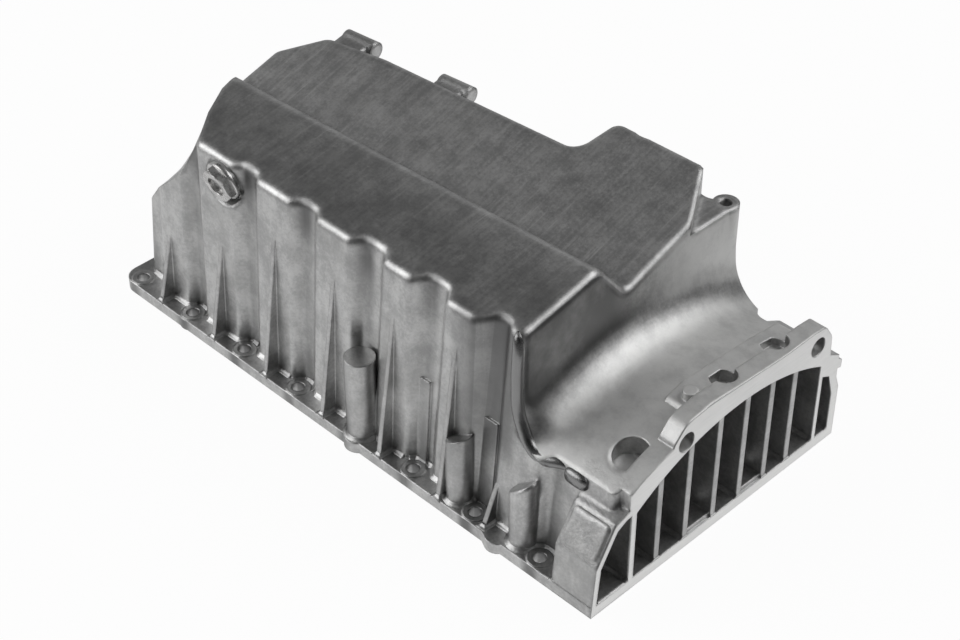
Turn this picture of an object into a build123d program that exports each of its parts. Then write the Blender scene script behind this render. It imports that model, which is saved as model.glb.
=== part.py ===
from build123d import *
from math import atan2, cos, hypot, pi, radians, sin, sqrt, tan
import os

os.makedirs("parts", exist_ok=True)

# Engine oil pan, one aluminium casting standing on its gasket flange, with its drain plug.
# X runs along the engine toward the gearbox end, -Y is the scalloped near side, Z is up.
# All sizes are millimetres. Stations below are measured from the first bolt of the near row.

PITCH = 44.0            # bolt pitch along the near side, half of an 88 mm bore spacing
NEAR_BOLTS = 8          # stations on the near row, the fifth is taken by a column
X_OFF = 168.5           # first bolt to the middle of the length
Y_OFF = 83.65           # first bolt to the middle of the width
FLANGE_T = 6.5          # gasket flange thickness
FLANGE_W0 = -11.0       # left edge of the flange
FLANGE_W1 = 348.0       # gearbox end edge of the flange
FLANGE_Y0 = -7.0        # near edge of the flange
FLANGE_Y1 = 177.0       # far edge of the flange
BOLT_D = 7.0            # clearance hole for an M6 screw
RING_D = 13.0           # spot face ring around a bolt hole
RING_H = 0.6            # height of the ring over the flange
WALL_T = 4.0            # casting wall
RIB_T = 2.6             # outer rib thickness at the tip
FLOOR_T = 4.5           # floor wall
ZREF = 130.0            # height of the upper reference outline of the walls

NEAR_BASE = 3.0         # near wall flats at the flange
NEAR_TOP = 9.0          # near wall flats at 112 mm
GROOVE_BASE = 8.0       # bottom of a bolt groove at the flange
FAR_BASE = 167.0        # far wall at the flange
LEFT_BASE = -1.5        # left wall at the flange

ROOF_NEAR_Z = 112.5     # near plane of the floor at y = 10
ROOF_NEAR_TAN = 0.176   # near plane rise toward the crest
ROOF_FAR_Z = 100.0      # far plane at y = 85
ROOF_FAR_TAN = 0.32     # far plane rise toward the far side
CREST_Y0 = 55.3         # crest at x = 0
CREST_SLOPE = 0.0455    # crest drift toward the gearbox end
NOTCH_RUN = 18.0        # width of the step behind the crest

END_X_TOP = 279.5       # smooth end face at z = 123
END_X_LOW = 283.0       # smooth end face at z = 75
SWEEP_R = 24.0          # concave sweep under the end face

GEAR_FACE_X = 348.0     # machined gearbox face
GEAR_T = 10.0           # gearbox plate thickness
GEAR_HOLE_D = 11.0      # clearance for M10
GEAR_Y1 = 55.0
GEAR_Z1 = 66.0
GEAR_Y2 = 154.0
GEAR_Z2 = 65.0

PLUG_X = 74.0
PLUG_Z = 97.0
PLUG_D = 14.0
PLUG_PITCH = 1.5


# ---------- outline helpers ----------

def turn(points, i):
    a = points[i - 1]
    b = points[i]
    c = points[(i + 1) % len(points)]
    return (b[0] - a[0]) * (c[1] - b[1]) - (b[1] - a[1]) * (c[0] - b[0])


def inset(points, t):
    """Counter-clockwise polygon moved inward by t, corner by corner."""
    out = []
    n = len(points)
    for i in range(n):
        ax, ay = points[i - 1]
        bx, by = points[i]
        cx, cy = points[(i + 1) % n]
        l1 = hypot(bx - ax, by - ay)
        l2 = hypot(cx - bx, cy - by)
        n1 = (-(by - ay) / l1, (bx - ax) / l1)
        n2 = (-(cy - by) / l2, (cx - bx) / l2)
        d = 1.0 + n1[0] * n2[0] + n1[1] * n2[1]
        out.append((bx + t * (n1[0] + n2[0]) / d, by + t * (n1[1] + n2[1]) / d))
    return out


def rounded(points, radii, place):
    """Closed wire through a polygon with every corner rounded, lines and arcs in turn."""
    n = len(points)
    tangents = []
    for i in range(n):
        ax, ay = points[i - 1]
        bx, by = points[i]
        cx, cy = points[(i + 1) % n]
        l1 = hypot(ax - bx, ay - by)
        l2 = hypot(cx - bx, cy - by)
        u = ((ax - bx) / l1, (ay - by) / l1)
        v = ((cx - bx) / l2, (cy - by) / l2)
        c = u[0] * v[0] + u[1] * v[1]
        half = 0.5 * (pi - abs(atan2(sqrt(max(0.0, 1 - c * c)), c)))
        cut = radii[i] * tan(half)
        p = (bx + u[0] * cut, by + u[1] * cut)
        q = (bx + v[0] * cut, by + v[1] * cut)
        m = (u[0] + v[0], u[1] + v[1])
        lm = hypot(m[0], m[1])
        h = radii[i] / cos(half)
        k = (bx + m[0] / lm * (h - radii[i]), by + m[1] / lm * (h - radii[i]))
        tangents.append((p, k, q))
    edges = []
    for i in range(n):
        p, k, q = tangents[i]
        nxt = tangents[(i + 1) % n][0]
        edges.append(Edge.make_three_point_arc(place(p), place(k), place(q)))
        edges.append(Edge.make_line(place(q), place(nxt)))
    return Wire(edges)


def at_z(z):
    return lambda p: Vector(p[0], p[1], z)


def prism_x(points, radii, x0, x1):
    w = rounded(points, radii, lambda p: Vector(x0, p[0], p[1]))
    return extrude(Face(w), amount=x1 - x0, dir=(1, 0, 0))


def prism_y(points, radii, y0, y1):
    w = rounded(points, radii, lambda p: Vector(p[0], y0, p[1]))
    return extrude(Face(w), amount=y1 - y0, dir=(0, 1, 0))


def prism_z(points, radii, z0, z1):
    w = rounded(points, radii, at_z(z0))
    return extrude(Face(w), amount=z1 - z0, dir=(0, 0, 1))


def shell_between(p0, r0, z0, p1, r1, z1):
    return Solid.make_loft([rounded(p0, r0, at_z(z0)), rounded(p1, r1, at_z(z1))], ruled=True)


# ---------- plan outlines of the walls ----------

# one entry per corner: (x low, y low, radius low, x high, y high, radius high)
# low is the flange level, high is 112 mm up; corners run counter-clockwise seen from above
WALL = [
    (-4.5, 9.0, 4.5, 3.0, 12.5, 6.0),
    (9.5, 8.3, 3.5, 12.0, 11.5, 5.0),
    (15.5, 3.0, 4.0, 19.0, 8.5, 5.0),
    (37.0, 3.0, 3.0, 36.0, 8.5, 4.6),
    (41.0, 8.0, 3.5, 41.0, 12.0, 4.0),
    (48.5, 8.0, 3.5, 47.0, 12.0, 4.0),
    (52.5, 3.0, 3.0, 52.0, 8.5, 4.6),
    (80.0, 3.0, 3.0, 79.0, 8.5, 4.6),
    (84.5, 8.0, 3.5, 84.0, 12.6, 4.5),
    (92.5, 8.0, 3.5, 94.0, 12.6, 4.5),
    (97.0, 3.0, 3.0, 99.0, 8.5, 4.6),
    (124.0, 3.0, 3.0, 123.5, 8.5, 4.6),
    (128.5, 8.0, 3.5, 129.0, 13.2, 5.0),
    (136.5, 8.0, 3.5, 139.0, 13.2, 5.0),
    (141.0, 3.0, 3.0, 144.5, 8.5, 4.6),
    (168.5, 3.0, 3.0, 168.0, 8.5, 4.6),
    (172.5, 8.0, 3.5, 174.0, 14.5, 5.0),
    (183.0, 8.0, 3.5, 187.0, 14.5, 5.0),
    (188.0, 3.0, 3.0, 193.0, 8.5, 4.6),
    (211.5, 3.0, 3.0, 211.0, 8.5, 4.6),
    (216.0, 8.0, 3.5, 217.5, 16.0, 5.0),
    (226.0, 8.0, 3.5, 230.0, 16.0, 5.0),
    (231.5, 3.0, 3.0, 235.5, 8.5, 4.6),
    (254.5, 3.0, 3.0, 253.5, 8.5, 4.6),
    (259.0, 8.0, 3.5, 262.0, 18.0, 5.0),
    (268.5, 8.0, 3.5, 268.2, 18.0, 4.0),
    (273.2, 3.0, 3.0, 272.8, 14.0, 4.7),
    (299.5, 3.0, 6.0, 299.5, 14.0, 6.5),
    (304.0, 8.0, 3.5, 304.0, 18.0, 4.0),
    (342.0, 8.0, 3.0, 342.0, 18.0, 3.0),
    (342.0, 171.0, 4.0, 342.0, 168.5, 4.0),
    (197.0, 168.0, 7.0, 202.3, 165.5, 7.0),
    (192.0, 156.0, 10.0, 196.5, 141.0, 10.0),
    (60.0, 154.0, 60.0, 62.0, 133.0, 60.0),
    (14.0, 150.0, 10.0, 22.0, 127.0, 10.0),
    (-4.5, 124.0, 8.0, 3.0, 103.0, 8.0),
]
HIGH_Z = 112.0


def wall_wires(t):
    k = (ZREF + 0.0) / HIGH_Z
    low = [(w[0], w[1]) for w in WALL]
    high = [(w[0] + (w[3] - w[0]) * k, w[1] + (w[4] - w[1]) * k) for w in WALL]
    down = -FLANGE_T / HIGH_Z
    base = [(w[0] + (w[3] - w[0]) * down, w[1] + (w[4] - w[1]) * down) for w in WALL]
    r0 = []
    r1 = []
    for i, w in enumerate(WALL):
        s = 1.0 if turn(low, i) > 0 else -1.0
        r0.append(max(0.8, w[2] - s * t))
        r1.append(max(0.8, w[5] - s * t))
    if t:
        base = inset(base, t)
        high = inset(high, t)
    return base, r0, high, r1


def roof_profile(x, t):
    """Cross profile of the floor at station x, lowered square to itself by t."""
    yc = CREST_Y0 + CREST_SLOPE * x
    zc = ROOF_NEAR_Z + (yc - 10.0) * ROOF_NEAR_TAN
    yn = yc + NOTCH_RUN
    zn = ROOF_FAR_Z + (yn - 85.0) * ROOF_FAR_TAN
    p = [
        (-40.0, -60.0),
        (230.0, -60.0),
        (230.0, ROOF_FAR_Z + 145.0 * ROOF_FAR_TAN),
        (yn, zn),
        (yc, zc),
        (-40.0, ROOF_NEAR_Z - 50.0 * ROOF_NEAR_TAN),
    ]
    r = [1.0, 1.0, 1.0, 5.0 + t, max(1.5, 9.0 - t), 1.0]
    if t:
        p = inset(p, t)
    return p, r


def roof(t):
    pa, ra = roof_profile(-60.0, t)
    pb, rb = roof_profile(420.0, t)
    wa = rounded(pa, ra, lambda p: Vector(-60.0, p[0], p[1]))
    wb = rounded(pb, rb, lambda p: Vector(420.0, p[0], p[1]))
    return Solid.make_loft([wa, wb], ruled=True)


def common(a, b):
    """Largest solid shared by two shapes."""
    found = a.intersect(b)
    solids = []
    for f in found:
        solids.extend(f.solids())
    return max(solids, key=lambda q: q.volume)


def block(t):
    base, r0, high, r1 = wall_wires(t)
    body = shell_between(base, r0, -FLANGE_T, high, r1, ZREF)
    return common(body, roof(t))


def wing_cut(t):
    """Corner taken off the upper left end, swept through three cross sections."""
    top = 150.0
    rows = [
        (-60.0, [(-40, 47), (-1, 47), (11, 63), (26, 76.5), (39, 91), (55.0, 115.5), (62, top)]),
        (8.0, [(-40, 47), (-1, 47), (11, 63), (26, 76.5), (39, 91), (55.0, 115.5), (62, top)]),
        (28.0, [(-40, 48.5), (-1.5, 48.5), (8, 63.5), (18, 78), (27.3, 94.2), (39.3, 119.3), (44.5, top)]),
        (45.0, [(-40, 50), (-2, 50), (7, 64), (14, 79), (21, 97), (30.0, 122.5), (34, top)]),
        (57.0, [(-40, 58), (-2.5, 58), (2, 70), (9, 84), (17, 101), (27.5, 124), (31, top)]),
        (80.0, [(-40, 74), (-4, 74), (-3, 80), (-2, 87), (0, 94), (3, 101), (5, top)]),
    ]
    wires = []
    for y, p in rows:
        q = [(a + (t * 0.75 if a > -30 else 0.0), b - t * 0.75) for a, b in p]
        q.append((-40, top - t * 0.75))
        pts = [Vector(a, y, b) for a, b in q]
        wires.append(Wire.make_polygon(pts, close=True))
    return Solid.make_loft(wires, ruled=True)


def end_prism(t):
    """Everything on the engine side of the smooth end face."""
    lean = (END_X_LOW - END_X_TOP) / 48.0
    lo = END_X_LOW + (75.0 + 60.0) * lean - t
    hi = END_X_LOW - (160.0 - 75.0) * lean - t
    p = [(-80.0, -60.0), (lo, -60.0), (hi, 160.0), (-80.0, 160.0)]
    return prism_y(p, [1.0, 1.0, 1.0, 1.0], -60.0, 260.0)


def arch_prism(x0, x1, top, floor_z):
    """Arched shelf, three points of its top, closed at floor_z."""
    (ya, za), (yb, zb), (yc, zc) = top
    arc = Edge.make_three_point_arc(Vector(x0, ya, za), Vector(x0, yb, zb), Vector(x0, yc, zc))
    e1 = Edge.make_line(Vector(x0, yc, zc), Vector(x0, yc, floor_z))
    e2 = Edge.make_line(Vector(x0, yc, floor_z), Vector(x0, ya, floor_z))
    e3 = Edge.make_line(Vector(x0, ya, floor_z), Vector(x0, ya, za))
    return extrude(Face(Wire([arc, e1, e2, e3])), amount=x1 - x0, dir=(1, 0, 0))


def hole(x, y, z, d, length, axis=(0, 0, 1)):
    pl = Plane(origin=(x, y, z), z_dir=axis)
    return Solid.make_cylinder(d / 2.0, length, pl)


SHELF_TOP = [(-6.0, 45.0), (100.0, 72.0), (184.0, 42.0)]
ARCH_LOW = [(22.0, 43.0), (100.0, 65.5), (174.0, 40.0)]
END_WALL_X = 318.0

# ---------- outer body ----------

def pick(body, test):
    return [e for e in body.edges() if test(e.center(), e.bounding_box(), e.length)]


def biggest(shape):
    return max(shape.solids(), key=lambda q: q.volume)


def stadium_z(x0, y0, x1, y1, r, z0, z1):
    """Round-ended upright bar between two centres."""
    a = Solid.make_cylinder(r, z1 - z0, Plane(origin=(x0, y0, z0)))
    b = Solid.make_cylinder(r, z1 - z0, Plane(origin=(x1, y1, z0)))
    n = hypot(x1 - x0, y1 - y0)
    ux, uy = (x1 - x0) / n, (y1 - y0) / n
    p = [(x0 + uy * r, y0 - ux * r), (x1 + uy * r, y1 - ux * r),
         (x1 - uy * r, y1 + ux * r), (x0 - uy * r, y0 + ux * r)]
    return a.fuse(b).fuse(polygon_z(p, z0, z1))


def polygon_z(p, z0, z1):
    w = Wire.make_polygon([Vector(x, y, z0) for x, y in p], close=True)
    return extrude(Face(w), amount=z1 - z0, dir=(0, 0, 1))


def polygon_x(p, x0, x1):
    w = Wire.make_polygon([Vector(x0, y, z) for y, z in p], close=True)
    return extrude(Face(w), amount=x1 - x0, dir=(1, 0, 0))


def polygon_y(p, y0, y1):
    w = Wire.make_polygon([Vector(x, y0, z) for x, z in p], close=True)
    return extrude(Face(w), amount=y1 - y0, dir=(0, 1, 0))


walls_base, walls_r0, walls_high, walls_r1 = wall_wires(0.0)
wall_solid = shell_between(walls_base, walls_r0, -FLANGE_T, walls_high, walls_r1, ZREF)
upper = common(roof(0.0), end_prism(0.0)).fuse(arch_prism(262.0, 345.0, SHELF_TOP, -60.0))
outer = common(wall_solid, upper)
# near vertical corner of the end face, then the concave sweep down to the arched shelf
outer = outer.fillet(5.0, pick(outer, lambda c, b, n: 278 < c.X < 292 and b.size.Z > 25
                               and c.Z > 50 and c.Y < 30))
outer = outer.fillet(SWEEP_R, pick(outer, lambda c, b, n: 276 < c.X < 292 and b.size.Y > 40
                                   and b.size.X < 8 and 30 < c.Z < 80))
# rounded upper edge that follows every scallop
outer = outer.fillet(4.2, pick(outer, lambda c, b, n: c.Y > 130 and c.Z > 105 and n > 80
                               and b.size.Z < 26))
outer = biggest(outer - wing_cut(0.0))

# stepped corner behind the far right of the floor, with a flat ledge for the lug
LEDGE_Z = 109.0
ledge = polygon_z([(287.1, 121.0), (300.0, 121.0), (300.0, 200.0), (238.7, 200.0)], LEDGE_Z, 160.0)
outer = biggest(outer - ledge)

# screw grooves of the far side, where the wall stands over the bolt row
FAR_ROW_Y = 171.5
for x in (220.0, 264.0, 308.0):
    outer = outer - Solid.make_cylinder(9.0, 160.0, Plane(origin=(x, FAR_ROW_Y, 0.0)))
outer = biggest(outer)

# ---------- inside of the pan ----------

cav_base, cav_r0, cav_high, cav_r1 = wall_wires(WALL_T)
cav_wall = shell_between(cav_base, cav_r0, -FLANGE_T, cav_high, cav_r1, ZREF)
under_top = [(y, z - 6.5) for y, z in SHELF_TOP]
low_ledge = polygon_z([(280.0, 118.0), (300.0, 118.0), (300.0, 200.0), (231.0, 200.0)], LEDGE_Z - 4.5, 160.0)
room = common(roof(FLOOR_T), end_prism(WALL_T)) - wing_cut(5.5) - low_ledge
room = room.fuse(arch_prism(262.0, END_WALL_X - 4.0, under_top, -60.0))
cavity = common(cav_wall, room)
for x in (220.0, 264.0, 308.0):
    cavity = cavity - Solid.make_cylinder(13.0, 200.0, Plane(origin=(x, FAR_ROW_Y, -20.0)))
cavity = biggest(cavity)

# ---------- flange ----------

flange = prism_z([(FLANGE_W0, FLANGE_Y0), (FLANGE_W1, FLANGE_Y0), (FLANGE_W1, FLANGE_Y1),
                  (FLANGE_W0, FLANGE_Y1)], [9.5, 2.0, 3.0, 9.5], -FLANGE_T, 0.0)
tabs = [
    stadium_z(181.0, 0.0, 181.0, -1.5, 8.0, -FLANGE_T, 0.0),
    stadium_z(277.0, 0.0, 282.5, -2.7, 7.0, -FLANGE_T, 0.0),
    stadium_z(44.0, 2.0, 44.0, 0.0, 7.6, -FLANGE_T, 0.0),
]
for t in tabs:
    flange = flange.fuse(t)
flange = biggest(flange)

pan = outer.fuse(flange)
pan = biggest(pan)

# ---------- outside details on the near wall ----------

rib_tops = [(22.9, 40.0), (68.0, 57.0), (111.4, 84.5), (156.5, 82.5), (199.9, 83.5), (243.1, 90.0)]
for x, z in rib_tops:
    w = RIB_T / 2.0
    rib = polygon_x([(-5.6, -1.0), (9.0, -1.0), (9.0 + z * 0.05, z), (3.0 + z * 0.049, z)], x - w, x + w)
    pan = pan.fuse(rib)
rib = polygon_x([(-4.6, -1.0), (9.0, -1.0), (9.0, 22.5), (5.5, 22.5)], 272.4, 275.0)
pan = pan.fuse(rib)
# proud pads at the foot of two grooves, ending in a short step
for x0, x1, y1, z1 in ((212.0, 222.0, 14.0, 52.0), (258.0, 268.0, 15.0, 53.0)):
    pad = polygon_x([(6.8, -1.0), (y1 - 2.0, -1.0), (y1, z1), (y1 - 3.8, z1)], x0, x1)
    pan = pan.fuse(pad)

# half-round column from the flange up to a flat top, in the bay without a bolt
column = Solid.make_cylinder(8.2, 50.5, Plane(origin=(180.5, 1.6, -1.0)))
pan = pan.fuse(column)
# round columns beside the last bolts, tops cut on a slant
for cx, cy, cr, h0, h1 in [(250.5, 3.0, 7.0, 34.0, 46.0), (294.0, 3.0, 7.2, 27.0, 47.0)]:
    c = Solid.make_cylinder(cr, 70.0, Plane(origin=(cx, cy, -1.0)))
    wedge = polygon_y([(cx - 12, h0), (cx + 12, h1), (cx + 12, 90), (cx - 12, 90)], cy - 20, cy + 20)
    pan = pan.fuse(biggest(c - wedge))
pan = biggest(pan)

# ---------- gearbox end ----------

# corner box on the near side and its pocket
box = polygon_x([(FLANGE_Y0, -FLANGE_T), (22.0, -FLANGE_T), (22.0, 48.0), (16.0, 47.5), (7.5, 44.5),
                 (-4.5, 24.0)], 322.0, FLANGE_W1)
pan = pan.fuse(box)
# corner box on the far side
far_box = polygon_x([(157.0, -FLANGE_T), (FLANGE_Y1, -FLANGE_T), (FLANGE_Y1, 26.0),
                     (170.0, 45.0), (157.0, 52.0)], 322.0, FLANGE_W1)
pan = pan.fuse(far_box)
slab = common(arch_prism(310.0, FLANGE_W1, SHELF_TOP, 0.0),
              polygon_x([(17.0, 0.0), (174.0, 0.0), (174.0, 90.0), (17.0, 90.0)], 310.0, FLANGE_W1))
pan = pan.fuse(slab)

# machined gearbox plate with two lobes
plate_pts = [(26.0, 40.0), (66.0, 46.0), (150.0, 46.0), (177.0, 38.5), (177.0, 44.0), (166.0, 51.0),
             (165.0, 66.0), (159.0, 75.0), (149.0, 76.0), (128.0, 75.6), (98.0, 77.5), (72.0, 79.5),
             (54.0, 77.5), (46.0, 69.0), (44.5, 56.0), (37.0, 48.5), (26.0, 46.0)]
plate_r = [0.5, 0.5, 0.5, 1.0, 2.0, 6.0, 8.0, 4.5, 4.0, 20.0, 20.0, 20.0, 9.0, 7.0, 10.0, 6.0, 1.0]
plate = prism_x(plate_pts, plate_r, GEAR_FACE_X - GEAR_T, GEAR_FACE_X)
pan = biggest(pan.fuse(plate))
# raised land behind the plate, with the two round-backed pockets and a small stub beside the lobe
land_pts = [(62.0, 50.0), (158.0, 50.0), (158.0, 62.0), (150.0, 69.5), (128.0, 72.5), (98.0, 74.5),
            (78.0, 75.5), (66.0, 73.0), (62.0, 66.0)]
land = prism_x(land_pts, [1.0, 1.0, 4.0, 6.0, 20.0, 20.0, 10.0, 4.0, 4.0], 325.0, 340.0)
pan = pan.fuse(land)
stub = Solid.make_cylinder(4.0, 20.0, Plane(origin=(333.5, 73.5, 58.0)))
pan = biggest(pan.fuse(stub))
for py in (93.5, 132.5):
    pocket = Solid.make_cylinder(7.0, 40.0, Plane(origin=(337.0, py, 67.0)))
    pocket = common(pocket, polygon_z([(331.5, py - 20.0), (360.0, py - 20.0), (360.0, py + 20.0),
                                       (331.5, py + 20.0)], 60.0, 120.0))
    pan = pan - pocket
pan = biggest(pan)
# shallow lens-shaped pocket in the shelf in front of the near lobe
lens = Solid.make_cylinder(9.0, 30.0, Plane(origin=(333.0, 33.0, 50.5)))
lens = common(lens, polygon_z([(322.0, 20.0), (337.5, 20.0), (337.5, 44.0), (322.0, 44.0)], 50.0, 90.0))
pan = biggest(pan - lens)

# open bays under the arch
bay = arch_prism(END_WALL_X, FLANGE_W1 + 5.0, ARCH_LOW, 0.0)
bay = common(bay, polygon_x([(22.0, 0.0), (159.0, 0.0), (159.0, 90.0), (22.0, 90.0)], END_WALL_X, 360.0))
pan = biggest(pan - bay)
near_pocket = polygon_x([(-3.6, 0.0), (18.8, 0.0), (18.8, 43.5), (15.0, 43.0), (9.0, 40.0), (-1.4, 22.5)],
                        326.0, 360.0)
pan = biggest(pan - near_pocket)
far_pocket = polygon_x([(161.5, 0.0), (171.8, 0.0), (171.8, 24.0), (167.5, 38.0), (161.5, 41.0)],
                       326.0, 360.0)
pan = biggest(pan - far_pocket)

# raised pads for the two screws in the bays
for y in (71.0, 111.0):
    pad = prism_z([(324.0, y - 10.0), (346.5, y - 10.0), (346.5, y + 10.0), (324.0, y + 10.0)],
                  [2.0, 3.0, 3.0, 2.0], -1.0, 2.2)
    pan = pan.fuse(pad)

# upright ribs between the flange and the arch
for y in [39.3, 60.3, 81.3, 101.2, 120.4, 138.5]:
    rib = polygon_x([(y - 1.6, -1.0), (y + 1.6, -1.0), (y + 1.6, 68.0), (y - 1.6, 68.0)], END_WALL_X - 2.0,
                    FLANGE_W1 - 0.5)
    rib = common(rib, arch_prism(300.0, 360.0, [(a, b + 2.0) for a, b in ARCH_LOW], -2.0))
    pan = pan.fuse(rib)
pan = biggest(pan)

# ---------- far side ----------

for x1, y1, z, length in [(43.5, 142.0, 105.8, 22.0), (112.5, 148.0, 105.2, 21.0)]:
    way = Vector(1.0, 0.1, 0.0).normalized()
    end = Vector(x1, y1, z)
    start = end - way * length
    lug = Solid.make_cylinder(5.2, length, Plane(origin=start, z_dir=way))
    side = Vector(way.Y, -way.X, 0.0)
    web = Wire.make_polygon([start + side * 1.0 + Vector(0, 0, 4.0), start + side * 16.0 + Vector(0, 0, 2.0),
                             start + side * 16.0 - Vector(0, 0, 22.0), start - side * 4.0 - Vector(0, 0, 4.0)],
                            close=True)
    pan = pan.fuse(lug).fuse(extrude(Face(web), amount=length - 3.0, dir=way))
lug = Solid.make_cylinder(7.0, 40.0, Plane(origin=(275.0, 166.0, LEDGE_Z - 40.0)))
pan = pan.fuse(lug)
pan = biggest(pan)

# ---------- hollow it, then the holes ----------

pan = biggest(pan - cavity)

tilt = radians(15.0)
PLUG_AXIS = (0.0, -cos(tilt), -sin(tilt))
SEAT = (71.5, 11.4, 99.4)


def along(d):
    return (SEAT[0] + PLUG_AXIS[0] * d, SEAT[1] + PLUG_AXIS[1] * d, SEAT[2] + PLUG_AXIS[2] * d)


boss = Solid.make_cylinder(17.0, 26.0, Plane(origin=along(-13.0), z_dir=PLUG_AXIS))
boss = common(boss, outer)
pan = pan.fuse(boss)
pan = biggest(pan)
seat_cut = Solid.make_cylinder(13.2, 30.0, Plane(origin=SEAT, z_dir=PLUG_AXIS))
pan = biggest(pan - seat_cut)
plug_bore = Solid.make_cylinder(PLUG_D / 2.0, 40.0, Plane(origin=along(-30.0), z_dir=PLUG_AXIS))
pan = biggest(pan - plug_bore)

near_x = [PITCH * k for k in range(NEAR_BOLTS) if k != 4]
far_x = [PITCH * k for k in range(NEAR_BOLTS)]
for x in near_x:
    ring = Solid.make_cylinder(RING_D / 2.0, RING_H, Plane(origin=(x, 0.0, 0.0)))
    pan = pan.fuse(ring)
for x in near_x:
    pan = pan - hole(x, 0.0, -20.0, BOLT_D, 30.0)
for x in far_x:
    pan = pan - hole(x, FAR_ROW_Y, -20.0, BOLT_D, 30.0)
for y in (71.0, 111.0):
    pan = pan - hole(336.0, y, -20.0, BOLT_D, 30.0)
for y, z in ((GEAR_Y1, GEAR_Z1), (GEAR_Y2, GEAR_Z2)):
    pan = pan - hole(GEAR_FACE_X - GEAR_T, y, z, GEAR_HOLE_D, 40.0, (1, 0, 0))
pan = pan - hole(275.0, 166.0, LEDGE_Z - 18.0, 6.6, 30.0)
pan = biggest(pan)

# ---------- drain plug and sealing washer ----------

WASHER_T = 1.5
washer = Solid.make_cylinder(11.0, WASHER_T, Plane(origin=SEAT, z_dir=PLUG_AXIS))
washer = biggest(washer - Solid.make_cylinder(7.25, 10.0, Plane(origin=along(-4.0), z_dir=PLUG_AXIS)))
HEAD_AF = 19.0
flange_pl = Plane(origin=along(WASHER_T), z_dir=PLUG_AXIS)
head = Solid.make_cylinder(11.5, 2.4, flange_pl)
hexa = Wire.make_polygon([flange_pl.from_local_coords(Vector(HEAD_AF / sqrt(3.0) * cos(radians(60.0 * i + 15.0)),
                                                            HEAD_AF / sqrt(3.0) * sin(radians(60.0 * i + 15.0)),
                                                            2.0)) for i in range(6)], close=True)
head = head.fuse(extrude(Face(hexa), amount=5.0, dir=PLUG_AXIS))
dish = Solid.make_cylinder(5.6, 5.0, Plane(origin=along(WASHER_T + 7.0 - 2.2), z_dir=PLUG_AXIS))
head = head - dish
shank = Solid.make_cylinder(PLUG_D / 2.0 - 0.05, 17.0 + WASHER_T, Plane(origin=along(-17.0), z_dir=PLUG_AXIS))
plug = biggest(head.fuse(shank))

# ---------- write the parts ----------

shift = Location((-X_OFF, -Y_OFF, FLANGE_T))
export_step(shift * pan, "parts/oil_pan.step")
export_step(shift * washer, "parts/drain_washer.step")
export_step(shift * plug, "parts/drain_plug.step")
print("oil_pan", pan.is_valid, round(pan.volume), (shift * pan).bounding_box())
print("drain_washer", washer.is_valid, round(washer.volume))
print("drain_plug", plug.is_valid, round(plug.volume), (shift * plug).bounding_box())
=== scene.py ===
"""Studio scene of an engine oil pan: one aluminium die casting with its drain plug and sealing washer."""
import math

import bmesh
import bpy
import numpy as np
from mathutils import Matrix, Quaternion, Vector


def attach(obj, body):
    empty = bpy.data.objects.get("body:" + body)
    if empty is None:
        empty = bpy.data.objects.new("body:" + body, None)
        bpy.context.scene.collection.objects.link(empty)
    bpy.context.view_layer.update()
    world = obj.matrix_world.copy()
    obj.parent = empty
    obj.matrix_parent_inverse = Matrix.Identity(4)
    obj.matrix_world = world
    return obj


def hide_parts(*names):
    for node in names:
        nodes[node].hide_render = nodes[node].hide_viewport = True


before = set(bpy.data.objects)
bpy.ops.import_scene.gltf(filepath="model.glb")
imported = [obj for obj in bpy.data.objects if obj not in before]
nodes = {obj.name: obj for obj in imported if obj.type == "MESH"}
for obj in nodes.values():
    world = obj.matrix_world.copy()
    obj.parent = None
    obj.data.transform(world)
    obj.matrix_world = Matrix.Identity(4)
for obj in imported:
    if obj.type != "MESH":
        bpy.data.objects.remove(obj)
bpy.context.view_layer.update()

# ---------------------------------------------------------------- cast pan
# One aluminium die casting, shot-blasted after trimming. The skin is a soft grey with flow streaks
# and stains; the gearbox face is milled bright. Colours are the metal's own except for painted shade and
# painted highlights in places, and masks run over the casting in metres.

CAST_LIGHT = (0.61, 0.61, 0.605, 1.0)
CAST_DARK = (0.39, 0.39, 0.39, 1.0)
CAST_PAINTED_SHADE = (0.17, 0.17, 0.17, 1.0)
CAST_STAIN = (0.34, 0.34, 0.335, 1.0)
CAST_SCRATCH = (0.72, 0.72, 0.715, 1.0)
CAST_PAINTED_HIGHLIGHT = (0.80, 0.80, 0.79, 1.0)
MILLED_LOW = (0.74, 0.74, 0.735, 1.0)
MILLED = (0.86, 0.86, 0.85, 1.0)
CAST_METAL = 0.92
SCREW_FIRST_X = -0.1685
SCREW_PITCH = 0.044
EDGE_R = 0.0013
CORNER_EDGE_R = 0.0035
ROOF_EDGE_R = 0.0036
BLOCK_EDGE_R = 0.0012
GRAIN_DEPTH = 0.0004


def add(tree, kind):
    """A new shader node."""
    return tree.nodes.new(kind)


def calc(tree, operation, a, b=0.0):
    """One Math node; a and b are sockets or numbers."""
    node = add(tree, "ShaderNodeMath")
    node.operation = operation
    for i, v in enumerate((a, b)):
        if isinstance(v, (int, float)):
            node.inputs[i].default_value = v
        else:
            tree.links.new(v, node.inputs[i])
    return node.outputs[0]


def product(tree, *values):
    """All values multiplied together."""
    result = values[0]
    for v in values[1:]:
        result = calc(tree, "MULTIPLY", result, v)
    return result


def total(tree, *values):
    """All values added together."""
    result = values[0]
    for v in values[1:]:
        result = calc(tree, "ADD", result, v)
    return result


def ramp(tree, value, low, high, to_low=0.0, to_high=1.0):
    """Smooth step of value from low to high."""
    node = add(tree, "ShaderNodeMapRange")
    node.interpolation_type = "SMOOTHSTEP"
    tree.links.new(value, node.inputs["Value"])
    node.inputs["From Min"].default_value = low
    node.inputs["From Max"].default_value = high
    node.inputs["To Min"].default_value = to_low
    node.inputs["To Max"].default_value = to_high
    return node.outputs["Result"]


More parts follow.
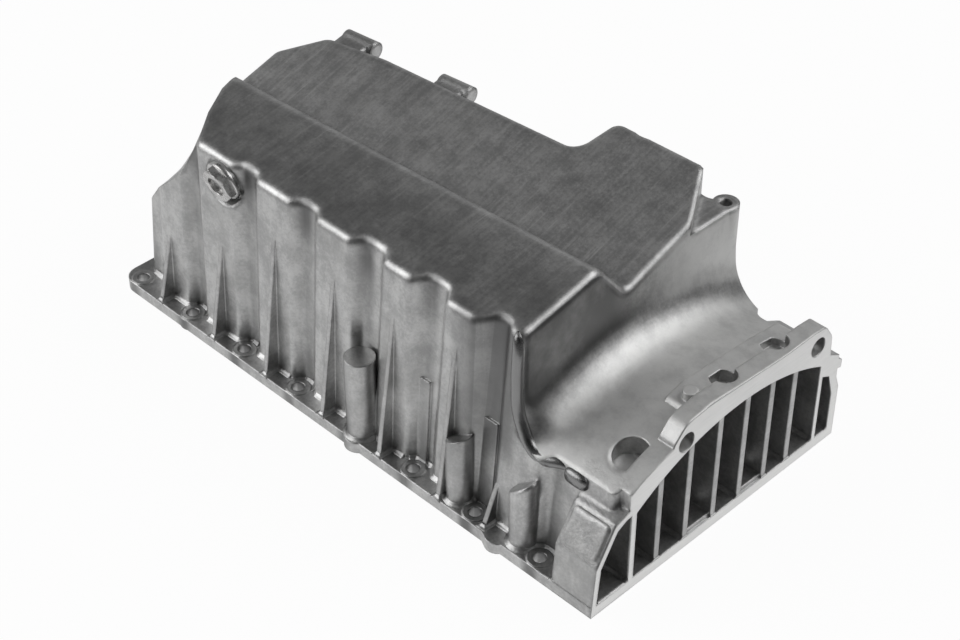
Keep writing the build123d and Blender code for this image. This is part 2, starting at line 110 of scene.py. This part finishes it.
def blend_colour(tree, amount, a, b):
    """Mix of two colours, each a socket or a tuple."""
    node = add(tree, "ShaderNodeMix")
    node.data_type = "RGBA"
    tree.links.new(amount, node.inputs["Factor"])
    for key, v in (("A", a), ("B", b)):
        socket = [s for s in node.inputs if s.name == key and s.type == "RGBA"][0]
        if isinstance(v, tuple):
            socket.default_value = v
        else:
            tree.links.new(v, socket)
    return [s for s in node.outputs if s.type == "RGBA"][0]


def blend_value(tree, amount, a, b):
    """Number between sockets a and b, by amount."""
    node = add(tree, "ShaderNodeMix")
    tree.links.new(amount, node.inputs[0])
    tree.links.new(a, node.inputs[2])
    tree.links.new(b, node.inputs[3])
    return node.outputs[0]


def noise(tree, where, scale, detail=4.0, rough=0.55, stretch=(1.0, 1.0, 1.0)):
    """Fractal noise on object coordinates, stretched per axis."""
    mapping = add(tree, "ShaderNodeMapping")
    mapping.inputs["Scale"].default_value = stretch
    tree.links.new(where, mapping.inputs["Vector"])
    node = add(tree, "ShaderNodeTexNoise")
    node.inputs["Scale"].default_value = scale
    node.inputs["Detail"].default_value = detail
    node.inputs["Roughness"].default_value = rough
    tree.links.new(mapping.outputs["Vector"], node.inputs["Vector"])
    return node.outputs["Fac"]


cast = bpy.data.materials.new("cast_aluminium")
cast.use_nodes = True
t = cast.node_tree
bsdf = t.nodes["Principled BSDF"]
coords = add(t, "ShaderNodeTexCoord").outputs["Object"]
place = add(t, "ShaderNodeSeparateXYZ")
t.links.new(coords, place.inputs[0])
px, py, pz = place.outputs
facing = add(t, "ShaderNodeSeparateXYZ")
t.links.new(add(t, "ShaderNodeNewGeometry").outputs["Normal"], facing.inputs[0])
nx, ny, nz = facing.outputs

# mottle of the whole skin: brushed marks across the floor of the pan, upright flow marks on the walls
up_face = product(t, ramp(t, nz, 0.75, 0.93), ramp(t, pz, 0.080, 0.100))
cloud = noise(t, coords, 38.0, 6.0, 0.62)
speck = noise(t, coords, 620.0, 4.0, 0.7)
across = noise(t, coords, 420.0, 3.0, 0.6, (1.0, 0.035, 0.12))
upright = noise(t, coords, 120.0, 4.0, 0.6, (1.0, 1.0, 0.22))
patches = noise(t, coords, 24.0, 3.0, 0.6)
stain = noise(t, coords, 16.0, 5.0, 0.66)
drift = noise(t, coords, 85.0, 6.0, 0.68)
streaks = blend_value(t, up_face, upright, across)
tone = total(t, product(t, drift, 0.45), product(t, speck, 0.30), product(t, streaks, 0.25))
skin = blend_colour(t, ramp(t, tone, 0.38, 0.62), CAST_DARK, CAST_LIGHT)
skin = blend_colour(t, product(t, ramp(t, stain, 0.50, 0.66), 0.45), skin, CAST_STAIN)
scratches = product(t, ramp(t, across, 0.56, 0.74), ramp(t, patches, 0.45, 0.62), up_face, 0.6)
skin = blend_colour(t, scratches, skin, CAST_SCRATCH)

# painted shade in the screw grooves, at their foot and where they run out at the top, and on
# the low side of the sloped floor
from_screw = calc(t, "PINGPONG", calc(t, "SUBTRACT", px, SCREW_FIRST_X), SCREW_PITCH / 2.0)
in_groove = product(t, ramp(t, from_screw, 0.0075, 0.001), ramp(t, ny, -0.30, -0.65))
ends = calc(t, "MAXIMUM", ramp(t, pz, 0.088, 0.110), ramp(t, pz, 0.034, 0.010))
ends = total(t, product(t, ends, 0.6), 0.35)
groove_shade = product(t, in_groove, ends, ramp(t, stain, 0.30, 0.55, 0.5, 1.0))
skin = blend_colour(t, groove_shade, skin, CAST_PAINTED_SHADE)
low_floor_shade = product(t, up_face, ramp(t, py, -0.022, -0.050), ramp(t, cloud, 0.38, 0.58, 0.35, 1.0), 0.6)
skin = blend_colour(t, low_floor_shade, skin, CAST_PAINTED_SHADE)

# painted shade and highlight: the end face is smooth with painted shade toward the near side and a
# painted highlight toward the far side, like the shelf below it, and painted shade darkens the near wall
# toward the rolled corner
end_wall = product(t, ramp(t, nx, 0.80, 0.93), ramp(t, px, 0.085, 0.095), ramp(t, px, 0.128, 0.120))
end_shade = product(t, end_wall, ramp(t, py, 0.022, -0.012), ramp(t, cloud, 0.30, 0.55, 0.7, 1.0))
skin = blend_colour(t, end_shade, skin, CAST_PAINTED_SHADE)
near_end_shade = product(t, ramp(t, ny, -0.45, -0.80), ramp(t, px, 0.066, 0.090))
near_end_shade = product(t, near_end_shade, ramp(t, px, 0.118, 0.108), ramp(t, pz, 0.030, 0.060), 0.80)
skin = blend_colour(t, near_end_shade, skin, CAST_PAINTED_SHADE)
# painted highlight: the shelf and the far side of the end face are painted pale
shelf = product(t, ramp(t, nz, 0.45, 0.85), ramp(t, px, 0.118, 0.128), ramp(t, pz, 0.0560, 0.0600))
pale_highlight = calc(t, "MAXIMUM", product(t, end_wall, ramp(t, py, 0.010, 0.040)), shelf)
pale_highlight = product(t, pale_highlight, ramp(t, drift, 0.34, 0.60, 0.75, 1.0))
skin = blend_colour(t, product(t, pale_highlight, 0.8), skin, CAST_PAINTED_HIGHLIGHT)

# the gearbox face is milled after casting
gear = product(t, ramp(t, nx, 0.995, 0.999), ramp(t, px, 0.1790, 0.1793))
turned = noise(t, coords, 900.0, 2.0, 0.5, (1.0, 0.08, 1.0))
skin = blend_colour(t, gear, skin, blend_colour(t, turned, MILLED_LOW, MILLED))
t.links.new(skin, bsdf.inputs["Base Color"])
bsdf.inputs["Metallic"].default_value = CAST_METAL
rough = total(t, product(t, cloud, 0.16), product(t, speck, 0.16), 0.25, product(t, pale_highlight, 0.14))
rough = total(t, rough, product(t, end_shade, -0.10), product(t, gear, -0.04))
t.links.new(rough, bsdf.inputs["Roughness"])

# cast edges: narrow in general, broad along the roof and where the sweep runs out to the near side
block = product(t, ramp(t, px, 0.1475, 0.1500), ramp(t, py, -0.0600, -0.0640))
corner = product(t, ramp(t, px, 0.100, 0.108), ramp(t, py, -0.044, -0.056))
corner = product(t, corner, ramp(t, px, 0.172, 0.166), ramp(t, pz, 0.034, 0.044))
roof = ramp(t, pz, 0.082, 0.092)
wide = calc(t, "MAXIMUM", product(t, corner, CORNER_EDGE_R), product(t, roof, ROOF_EDGE_R))
wide = calc(t, "MAXIMUM", wide, product(t, block, BLOCK_EDGE_R))
edge = add(t, "ShaderNodeBevel")
edge.samples = 12
t.links.new(total(t, wide, EDGE_R), edge.inputs["Radius"])

# blasted grain, coarser on the block at the near corner and all but milled away on the gearbox face
grain = noise(t, coords, 900.0, 3.0, 0.6)
pits = noise(t, coords, 420.0, 3.0, 0.6)
height = total(t, product(t, grain, 0.35), product(t, pits, 0.55))
height = product(t, height, total(t, product(t, block, 1.2), 0.6))
height = product(t, height, calc(t, "SUBTRACT", 1.0, product(t, gear, 0.85)))
height = total(t, height, product(t, cloud, 1.5))
bump = add(t, "ShaderNodeBump")
bump.inputs["Strength"].default_value = 0.35
bump.inputs["Distance"].default_value = GRAIN_DEPTH
t.links.new(height, bump.inputs["Height"])
t.links.new(edge.outputs["Normal"], bump.inputs["Normal"])
t.links.new(bump.outputs["Normal"], bsdf.inputs["Normal"])
nodes["oil_pan"].data.materials.clear()
nodes["oil_pan"].data.materials.append(cast)

# ---------------------------------------------------------------- cast fillets
# Metal can't fill a sharp inner corner, so the walls, ribs, columns and bays run into the flange with
# a small radius. It is part of the casting and rides with it.

FLANGE_TOP = 0.0065
LEVEL_SLACK = 2e-5
WALL_RISE = 0.003
FILLET_R = 0.0021
FILLET_SINK = 0.0004
FILLET_SHORTEST = 0.004
BLOCK_STEP_X = 0.150
BLOCK_STEP_Y = -0.0885
GEAR_FACE = 0.1793


def welded(obj):
    """Vertices joined by position, and the triangles that use them."""
    mesh = obj.data
    mesh.calc_loop_triangles()
    points = np.empty(len(mesh.vertices) * 3)
    mesh.vertices.foreach_get("co", points)
    corners = np.empty(len(mesh.loop_triangles) * 3, dtype=np.int32)
    mesh.loop_triangles.foreach_get("vertices", corners)
    keys = np.round(points.reshape(-1, 3) * 1e6).astype(np.int64)
    _, first, inverse = np.unique(keys, axis=0, return_index=True, return_inverse=True)
    return points.reshape(-1, 3)[first], inverse.reshape(-1)[corners.reshape(-1, 3)]


def directed_edges(faces):
    """Start and end vertex of each triangle's three sides, in turn."""
    return faces.reshape(-1), np.roll(faces, -1, axis=1).reshape(-1)


def foot_lines(points, faces, level):
    """Chains of points where a wall rises from the flat at the given level, flat side on the left: the
    sides that a flat triangle and a rising one share, each followed by the one that starts at its end."""
    a, b, c = (points[faces[:, i]] for i in range(3))
    normal = np.cross(b - a, c - a)
    size = np.linalg.norm(normal, axis=1)
    good = size > 1e-14
    faces, normal = faces[good], normal[good] / size[good, None]
    off_level = np.abs(points[faces][:, :, 2] - level).max(axis=1)
    flat = (normal[:, 2] > 0.99) & (off_level < LEVEL_SLACK)
    # the step beside the near corner block is too narrow for a fillet
    middle = points[faces].mean(axis=1)
    flat &= (middle[:, 0] < BLOCK_STEP_X) | (middle[:, 1] > BLOCK_STEP_Y)
    rises = points[faces][:, :, 2].max(axis=1) > level + WALL_RISE
    up_start, up_end = directed_edges(faces[rises & ~flat])
    start, end = directed_edges(faces[flat])
    shared = np.isin(start * len(points) + end, up_end * len(points) + up_start)
    following = dict(zip(start[shared].tolist(), end[shared].tolist()))
    reached = set(following.values())
    heads = [k for k in following if k not in reached]
    chains = []
    while following:
        first = heads.pop() if heads else next(iter(following))
        if first not in following:
            continue
        chain = [first]
        while chain[-1] in following:
            chain.append(following.pop(chain[-1]))
            if chain[-1] == first:
                break
        chains.append(points[chain])
    return chains


def fillet_strip(line, radius, sink):
    """Bead along a foot line: a hollow quarter circle of the radius between flat and wall, closed
    inside the metal by a corner sunk below both."""
    closed = np.linalg.norm(line[0] - line[-1]) < 1e-7
    step = np.diff(line, axis=0)[:, :2]
    length = np.linalg.norm(step, axis=1)
    out = np.stack([-step[:, 1], step[:, 0]], axis=1) / length[:, None]
    before = np.vstack([out[-1:] if closed else out[:1], out])
    after = np.vstack([out, out[:1] if closed else out[-1:]])
    both = before + after
    miter = both * (2.0 / np.maximum((both ** 2).sum(axis=1), 1.3))[:, None]
    angle = np.linspace(0.0, np.pi / 2.0, 6)
    off = np.concatenate([radius * (1.0 - np.cos(angle)), [radius, -sink]])
    up = np.concatenate([radius * (1.0 - np.sin(angle)), [-sink, -sink]])
    off[0] -= sink
    ring = np.empty((len(line), len(off), 3))
    ring[:, :, :2] = line[:, None, :2] + miter[:, None, :] * off[None, :, None]
    ring[:, :, 2] = line[:, None, 2] + up[None, :]
    # the beads of the bays are milled off level with the gearbox face
    ring[:, :, 0] = np.minimum(ring[:, :, 0], GEAR_FACE)
    return ring


def strips_mesh(name, strips, smooth_limit):
    """One mesh from grids of points: each grid is a closed section carried along a line, capped."""
    points, faces, base = [], [], 0
    for ring in strips:
        n, m = ring.shape[:2]
        i, j = np.meshgrid(np.arange(n - 1), np.arange(m), indexing="ij")
        k = (j + 1) % m
        quads = np.stack([i * m + j, (i + 1) * m + j, (i + 1) * m + k, i * m + k], axis=-1) + base
        faces += quads.reshape(-1, 4).tolist()
        faces.append((np.arange(m) + base).tolist())
        faces.append((np.arange(m)[::-1] + base + (n - 1) * m).tolist())
        points.append(ring.reshape(-1, 3))
        base += n * m
    mesh = bpy.data.meshes.new(name)
    mesh.from_pydata(np.vstack(points).tolist(), [], faces)
    work = bmesh.new()
    work.from_mesh(mesh)
    bmesh.ops.remove_doubles(work, verts=work.verts, dist=1e-7)
    bmesh.ops.recalc_face_normals(work, faces=work.faces)
    work.to_mesh(mesh)
    work.free()
    mesh.polygons.foreach_set("use_smooth", [True] * len(mesh.polygons))
    mesh.set_sharp_from_angle(angle=smooth_limit)
    obj = bpy.data.objects.new(name, mesh)
    bpy.context.scene.collection.objects.link(obj)
    return obj


def run_of(line):
    """Length of a chain of points."""
    return np.linalg.norm(np.diff(line, axis=0), axis=1).sum()


feet = foot_lines(*welded(nodes["oil_pan"]), FLANGE_TOP)
beads = [fillet_strip(line, FILLET_R, FILLET_SINK) for line in feet if run_of(line) > FILLET_SHORTEST]
fillets = strips_mesh("foot_fillets", beads, math.radians(50))
fillets.data.materials.append(cast)
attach(fillets, "pan")

# ---------------------------------------------------------------- rolled corner
# The corner between the near wall and the gearbox end is a thick rolled edge that comes down the end
# face and follows the sweep out onto the shelf. It is cast and smooth, and its dark colour is painted
# shade.

ROLL_SHADE_COLOUR = (0.26, 0.26, 0.26, 1.0)
ROLL_ROUGHNESS = 0.20
ROLL = np.array([  # x, y, z of the centre line and the radius there, in mm
    (107.0, -66.8, 119.5, 1.2), (108.4, -68.2, 116.0, 2.7), (109.4, -69.1, 109.0, 3.2),
    (109.6, -69.8, 99.0, 3.3), (110.3, -70.4, 90.0, 3.3), (111.0, -71.0, 82.0, 3.3),
    (112.8, -71.3, 74.0, 3.4), (116.0, -71.7, 67.3, 3.4), (119.8, -72.1, 61.8, 3.4),
    (125.3, -72.4, 58.2, 3.4), (130.8, -72.0, 57.8, 3.3), (136.0, -70.4, 58.9, 3.1),
    (141.0, -69.0, 59.3, 2.6), (145.5, -68.4, 58.6, 1.2)]) * 0.001


def smooth_path(points, count):
    """Points along a chain of cubic arcs through the given ones: the tangent at a point is half the
    way from its neighbour before to its neighbour after."""
    ends = np.vstack([2 * points[:1] - points[1:2], points, 2 * points[-1:] - points[-2:-1]])
    place = np.linspace(0.0, len(points) - 1.0, count)
    i = np.minimum(place.astype(int), len(points) - 2)
    f = (place - i)[:, None]
    a, b, c, d = (ends[i + k] for k in range(4))
    return b + 0.5 * f * (c - a + f * (2 * a - 5 * b + 4 * c - d + f * (3 * (b - c) + d - a)))


def round_bar(path, around):
    """Circles square to the path, of the radius that its fourth column gives: centre + radius * (cos of
    the angle * side + sin of the angle * up)."""
    along = np.gradient(path[:, :3], axis=0)
    along /= np.linalg.norm(along, axis=1)[:, None]
    side = np.cross(along, (0.0, 1.0, 0.0))
    side /= np.linalg.norm(side, axis=1)[:, None]
    up = np.cross(side, along)
    angle = np.linspace(0.0, 2.0 * np.pi, around, endpoint=False)
    across, over = np.cos(angle)[None, :, None], np.sin(angle)[None, :, None]
    ring = across * side[:, None, :] + over * up[:, None, :]
    return path[:, None, :3] + ring * path[:, None, 3:]


roll = strips_mesh("rolled_corner", [round_bar(smooth_path(ROLL, 90), 40)], math.radians(60))
polished_and_shaded = cast.copy()
polished_and_shaded.name = "polished_cast_painted_shade"
shader = next(n for n in polished_and_shaded.node_tree.nodes if n.type == "BSDF_PRINCIPLED")
for socket in ("Base Color", "Roughness"):
    polished_and_shaded.node_tree.links.remove(shader.inputs[socket].links[0])
shader.inputs["Base Color"].default_value = ROLL_SHADE_COLOUR
shader.inputs["Roughness"].default_value = ROLL_ROUGHNESS
roll.data.materials.append(polished_and_shaded)
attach(roll, "pan")

# ---------------------------------------------------------------- step block
# Where the rolled corner runs out, a small rounded block stands on the near face under the shelf. It
# is part of the casting and as smooth as the corner.

STEP_MIDDLE = np.array((0.1500, -0.0702, 0.0578))
STEP_HALF = np.array((0.0072, 0.0036, 0.0042))
STEP_POWER = 0.55


def rounded_block(middle, half, power, rings, around):
    """Superellipsoid: half * sign(c) * |c| ** power for each part c of a point on the unit sphere."""
    rise = np.linspace(-0.499 * np.pi, 0.499 * np.pi, rings)
    turn = np.linspace(0.0, 2.0 * np.pi, around, endpoint=False)
    v, u = np.meshgrid(rise, turn, indexing="ij")
    c = np.stack([np.sin(v), np.cos(v) * np.cos(u), np.cos(v) * np.sin(u)], axis=2)
    return middle + half * np.sign(c) * np.abs(c) ** power


step_surface = rounded_block(STEP_MIDDLE, STEP_HALF, STEP_POWER, 41, 64)
step = strips_mesh("step_block", [step_surface], math.radians(60))
# the step block shares the corner's smooth material and its painted shade
step.data.materials.append(polished_and_shaded)
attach(step, "pan")

# ---------------------------------------------------------------- block pad
# The slanted face of the near corner block carries a raised, blasted pad with rounded borders, cast in
# one with it.

PAD_LOW = np.array((0.0, -0.08815, 0.0305))
PAD_HIGH = np.array((0.0, -0.07615, 0.0510))
PAD_LEFT = 0.1543
PAD_WIDE = 0.0244
PAD_SHARE = 0.93
PAD_START = 0.03
PAD_BORDER = 0.0016
PAD_RAISED = 0.0011
PAD_SINK = 0.0004
PAD_ROOT = 0.0015


def plateau(rows, cols, wide, high, border):
    """Height from 0 to 1 over a rectangle: the distance to its rounded edge, in borders, eased."""
    u, v = np.meshgrid(np.linspace(-0.5, 0.5, cols), np.linspace(-0.5, 0.5, rows))
    corner = 2.2 * border
    dx = np.maximum(np.abs(u) * wide - (wide / 2 - corner), 0.0)
    dy = np.maximum(np.abs(v) * high - (high / 2 - corner), 0.0)
    inside = np.clip((corner - np.hypot(dx, dy)) / border, 0.0, 1.0)
    return u + 0.5, v + 0.5, inside * inside * (3.0 - 2.0 * inside)


slant = PAD_HIGH - PAD_LOW
slant_length = np.linalg.norm(slant)
slant_out = np.cross(slant / slant_length, (-1.0, 0.0, 0.0))
u, v, raised = plateau(48, 56, PAD_WIDE, slant_length * PAD_SHARE, PAD_BORDER)
foot = PAD_LOW + (PAD_START + PAD_SHARE * v)[..., None] * slant
foot[..., 0] = PAD_LEFT + u * PAD_WIDE
pad_top = foot + (raised * (PAD_RAISED + PAD_SINK) - PAD_SINK)[..., None] * slant_out
pad_root = pad_top - PAD_ROOT * slant_out
pad_surface = np.concatenate([pad_top, pad_root[:, ::-1]], axis=1)
pad = strips_mesh("block_pad", [pad_surface], math.radians(50))
pad.data.materials.append(cast)
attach(pad, "pan")

# ---------------------------------------------------------------- pocket floor
# The round pocket in the shelf ends on a flat cast floor with a small radius round it, cut off where
# the gearbox plate begins.

POCKET_X = 0.1645
POCKET_Y = -0.05065
POCKET_WALL_X = 0.1692
POCKET_SECTION = np.array([  # radius and height of the floor's outline, in mm
    (0.4, 59.2), (9.3, 59.2), (9.3, 62.2), (8.2, 61.6), (0.4, 61.5)]) * 0.001

turn = np.linspace(0.0, 2.0 * np.pi, 64, endpoint=False)
pocket_r, pocket_z = POCKET_SECTION[:, :1], POCKET_SECTION[:, 1:]
pocket_x = np.minimum(POCKET_X + pocket_r * np.cos(turn), POCKET_WALL_X)
pocket_y = POCKET_Y + pocket_r * np.sin(turn)
pocket_surface = np.stack([pocket_x, pocket_y, pocket_z + 0.0 * turn], axis=2)
pocket = strips_mesh("pocket_floor", [pocket_surface], math.radians(40))
pocket.data.materials.append(cast)
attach(pocket, "pan")

# ---------------------------------------------------------------- drain plug
# Forged steel screw, zinc plated and dulled by heat and oil: a rolled thread, a round flange and a
# chamfered hexagon head with a shallow dish. It screws into the boss along a line 15 degrees below
# level.

PLUG_SEAT = np.array((-0.0970, -0.07225, 0.1059))
PLUG_TILT = math.radians(15.0)
PLUG_OUT = np.array((0.0, -math.cos(PLUG_TILT), -math.sin(PLUG_TILT)))
STEEL_DULL = (0.42, 0.415, 0.41, 1.0)
STEEL_CLEAN = (0.66, 0.655, 0.65, 1.0)
STEEL_METAL = 0.9

# in mm, along the axis from the seat on the casting, outward
THREAD_PITCH = 1.5
THREAD_DEPTH = 0.80
THREAD_TIP = -17.0
THREAD_END = -1.2
SHANK_R = 6.95
NECK_R = 6.2
FLANGE_FOOT = 1.5
FLANGE_R = 11.5
HEAD_FLATS = 19.0
HEAD_CORNER_R = 10.98
HEAD_FOOT = 3.93
HEAD_TOP = 8.5
HEAD_FACE_R = 9.35
HEAD_TURN = math.radians(-15.0)
DISH_R = 5.6
DISH_FLOOR = 6.3


def screw_radius(along, turn, base):
    """Radius in mm at a height and an angle. Shank: the base radius less a V of the thread, whose phase
    is height / pitch - turn / full turn. Head: the hexagon's flat / cos of the angle from its middle,
    cut by the cone of a 30 degree chamfer."""
    phase = np.mod(along / THREAD_PITCH - turn / (2.0 * np.pi), 1.0)
    cut = np.clip((np.abs(2.0 * phase - 1.0) - 0.12) / 0.64, 0.0, 1.0) * THREAD_DEPTH
    runout = np.clip((along - THREAD_TIP) / 1.5, 0.0, 1.0) * np.clip(THREAD_END - along, 0.0, 1.0)
    in_thread = (along > THREAD_TIP) & (along < THREAD_END + 1.0)
    flat = HEAD_FLATS / 2.0 / np.cos(np.mod(turn - HEAD_TURN, np.pi / 3.0) - np.pi / 6.0)
    cone = HEAD_FACE_R + (HEAD_TOP - along) * 1.73
    in_head = (along > HEAD_FOOT - 0.01) & (along < HEAD_TOP + 0.01) & (base > 9.0)
    radius = np.where(in_thread, base - cut * runout, base)
    return np.where(in_head, np.minimum(np.minimum(flat, cone), base), radius)


thread_heights = np.linspace(THREAD_TIP + 1.1, THREAD_END, 118)
head_heights = np.array((HEAD_FOOT, 5.5, 7.0, 7.5, 7.8, 8.1, 8.3, HEAD_TOP))
outline = np.vstack([  # height and base radius, from the tip of the shank to the middle of the dish
    [(THREAD_TIP, 0.02), (THREAD_TIP, 5.9), (THREAD_TIP + 1.0, SHANK_R)],
    np.stack([thread_heights, np.full(118, SHANK_R)], axis=1),
    [(-1.1, 6.9), (-0.8, NECK_R), (1.2, NECK_R), (FLANGE_FOOT, 6.6), (FLANGE_FOOT, FLANGE_R - 0.3),
     (1.62, FLANGE_R - 0.08), (1.8, FLANGE_R), (3.1, FLANGE_R), (3.45, FLANGE_R - 0.08),
     (3.75, FLANGE_R - 0.35), (3.9, HEAD_CORNER_R + 0.01)],
    np.stack([head_heights, np.full(8, HEAD_CORNER_R)], axis=1),
    [(HEAD_TOP, DISH_R + 0.35), (8.42, DISH_R + 0.1), (8.2, DISH_R), (6.6, DISH_R), (6.4, DISH_R - 0.3),
     (DISH_FLOOR, DISH_R - 0.8), (DISH_FLOOR, 0.02)]])
turn = HEAD_TURN + np.linspace(0.0, 2.0 * np.pi, 96, endpoint=False)
radius = screw_radius(outline[:, :1], turn[None, :], outline[:, 1:])
right = np.array((1.0, 0.0, 0.0))
above = np.cross(PLUG_OUT, right)
spoke = np.cos(turn)[:, None] * right + np.sin(turn)[:, None] * above
on_axis = outline[:, :1, None] * PLUG_OUT
screw = PLUG_SEAT + 0.001 * (on_axis + radius[:, :, None] * spoke[None, :, :])
plug = strips_mesh("hexagon_screw", [screw], math.radians(28))

steel = bpy.data.materials.new("plug_steel")
steel.use_nodes = True
t = steel.node_tree
bsdf = t.nodes["Principled BSDF"]
mottle = noise(t, add(t, "ShaderNodeTexCoord").outputs["Object"], 240.0, 5.0, 0.6)
plated = blend_colour(t, ramp(t, mottle, 0.35, 0.65), STEEL_DULL, STEEL_CLEAN)
t.links.new(plated, bsdf.inputs["Base Color"])
bsdf.inputs["Metallic"].default_value = STEEL_METAL
t.links.new(ramp(t, mottle, 0.3, 0.7, 0.22, 0.34), bsdf.inputs["Roughness"])
plug.data.materials.append(steel)
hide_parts("drain_plug")
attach(plug, "plug")

# ---------------------------------------------------------------- sealing washer
# Soft aluminium ring, turned, squeezed between the plug's flange and the seat on the casting.

SEAL_DULL = (0.42, 0.42, 0.42, 1.0)
SEAL_CLEAN = (0.62, 0.62, 0.62, 1.0)

seal = bpy.data.materials.new("seal_aluminium")
seal.use_nodes = True
t = seal.node_tree
bsdf = t.nodes["Principled BSDF"]
mottle = noise(t, add(t, "ShaderNodeTexCoord").outputs["Object"], 400.0, 3.0, 0.6)
t.links.new(blend_colour(t, mottle, SEAL_DULL, SEAL_CLEAN), bsdf.inputs["Base Color"])
bsdf.inputs["Metallic"].default_value = 0.9
bsdf.inputs["Roughness"].default_value = 0.4
nodes["drain_washer"].data.materials.clear()
nodes["drain_washer"].data.materials.append(seal)

# ---------------------------------------------------------------- studio floor
# Pale paper. The camera sees it plain white; in the metal it glows with painted light, white round the
# part and dimmer further out, faster on the gearbox side.

FLOOR_SIZE = 12.0
FLOOR_PAPER = (0.9, 0.9, 0.9, 1.0)
PART_HALF_X = 0.18
PART_HALF_Y = 0.09

bpy.ops.mesh.primitive_plane_add(size=FLOOR_SIZE, location=(0, 0, 0))
floor = bpy.context.object
floor.name = "floor"
paper = bpy.data.materials.new("floor_paper")
paper.use_nodes = True
t = paper.node_tree
bsdf = t.nodes["Principled BSDF"]
bsdf.inputs["Base Color"].default_value = FLOOR_PAPER
bsdf.inputs["Roughness"].default_value = 0.9
spot = add(t, "ShaderNodeSeparateXYZ")
t.links.new(add(t, "ShaderNodeTexCoord").outputs["Object"], spot.inputs[0])
sx, sy = spot.outputs[0], spot.outputs[1]
past_x = calc(t, "MAXIMUM", calc(t, "SUBTRACT", calc(t, "ABSOLUTE", sx), PART_HALF_X), 0.0)
past_x = product(t, past_x, ramp(t, sx, -0.1, 0.18, 1.0, 2.2))
past_y = calc(t, "MAXIMUM", calc(t, "SUBTRACT", calc(t, "ABSOLUTE", sy), PART_HALF_Y), 0.0)
far = calc(t, "SQRT", total(t, product(t, past_x, past_x), product(t, past_y, past_y)))
rays = add(t, "ShaderNodeLightPath")
camera_ray = rays.outputs["Is Camera Ray"]
# painted light: the floor's glow seen in the metal, fading with distance from the part
painted_floor_glow = add(t, "ShaderNodeEmission")
painted_floor_glow.inputs["Color"].default_value = (1, 1, 1, 1)
t.links.new(calc(t, "MAXIMUM", ramp(t, far, 0.16, 0.42, 0.85, 0.16), camera_ray), painted_floor_glow.inputs["Strength"])
seen = calc(t, "MAXIMUM", camera_ray, rays.outputs["Is Glossy Ray"])
mix = add(t, "ShaderNodeMixShader")
t.links.new(product(t, seen, 0.96), mix.inputs[0])
t.links.new(bsdf.outputs[0], mix.inputs[1])
t.links.new(painted_floor_glow.outputs[0], mix.inputs[2])
t.links.new(mix.outputs[0], t.nodes["Material Output"].inputs["Surface"])
floor.data.materials.append(paper)

# ---------------------------------------------------------------- studio light
# A dark ceiling over a lighter horizon on the left, a black flag above the near corner, and two large
# soft boxes: one in front on the left, one high behind the gearbox end.

ROOM_LEVEL = 0.095
HORIZON_LEVEL = 0.30
FLAG_WAY = (0.58, -0.57, 0.58)

world = bpy.data.worlds.new("studio")
bpy.context.scene.world = world
world.use_nodes = True
t = world.node_tree
back = t.nodes["Background"]
seen = add(t, "ShaderNodeLightPath").outputs["Is Camera Ray"]
way = add(t, "ShaderNodeSeparateXYZ")
t.links.new(add(t, "ShaderNodeTexCoord").outputs["Generated"], way.inputs[0])
wx, wy, wz = way.outputs
horizon = product(t, ramp(t, wz, 0.62, 0.30), ramp(t, wx, 0.1, -0.4))
to_flag = total(t, *(product(t, part, share) for part, share in zip((wx, wy, wz), FLAG_WAY)))
room = total(t, product(t, horizon, HORIZON_LEVEL), ROOM_LEVEL)
room = product(t, room, ramp(t, to_flag, 0.80, 0.95, 1.0, 0.15))
t.links.new(calc(t, "MAXIMUM", room, seen), back.inputs["Strength"])
back.inputs["Color"].default_value = (1.0, 1.0, 1.0, 1.0)


def soft_box(name, where, aim, wide, high, power):
    """Rectangular area lamp aimed at a point, its width level."""
    data = bpy.data.lights.new(name, "AREA")
    data.shape = "RECTANGLE"
    data.size = wide
    data.size_y = high
    data.energy = power
    lamp = bpy.data.objects.new(name, data)
    bpy.context.scene.collection.objects.link(lamp)
    lamp.location = where
    lamp.rotation_mode = "QUATERNION"
    lamp.rotation_quaternion = (Vector(aim) - Vector(where)).to_track_quat("-Z", "Y")
    lamp.visible_camera = False


soft_box("left_box", (-0.95, -1.00, 0.95), (0, 0, 0.06), 1.3, 1.4, 14.0)
soft_box("right_box", (0.82, 0.93, 1.42), (0.10, 0, 0.06), 1.7, 1.25, 15.0)

# ---------------------------------------------------------------- camera
# A long lens from above the near corner of the gearbox end.

CAMERA_PLACE = (0.60941, -0.59554, 0.72076)
CAMERA_TURN = (0.834408, 0.396434, 0.16342, 0.346263)
CAMERA_SENSOR = 36.0
CAMERA_LENS = 77.269

cam_data = bpy.data.cameras.new("camera")
cam_data.sensor_width = CAMERA_SENSOR
cam_data.lens = CAMERA_LENS
cam_data.clip_start = 0.05
cam_data.clip_end = 50.0
cam = bpy.data.objects.new("camera", cam_data)
bpy.context.scene.collection.objects.link(cam)
cam.location = CAMERA_PLACE
cam.rotation_mode = "QUATERNION"
cam.rotation_quaternion = Quaternion(CAMERA_TURN)
bpy.context.scene.camera = cam
bpy.context.scene.view_settings.view_transform = "Standard"
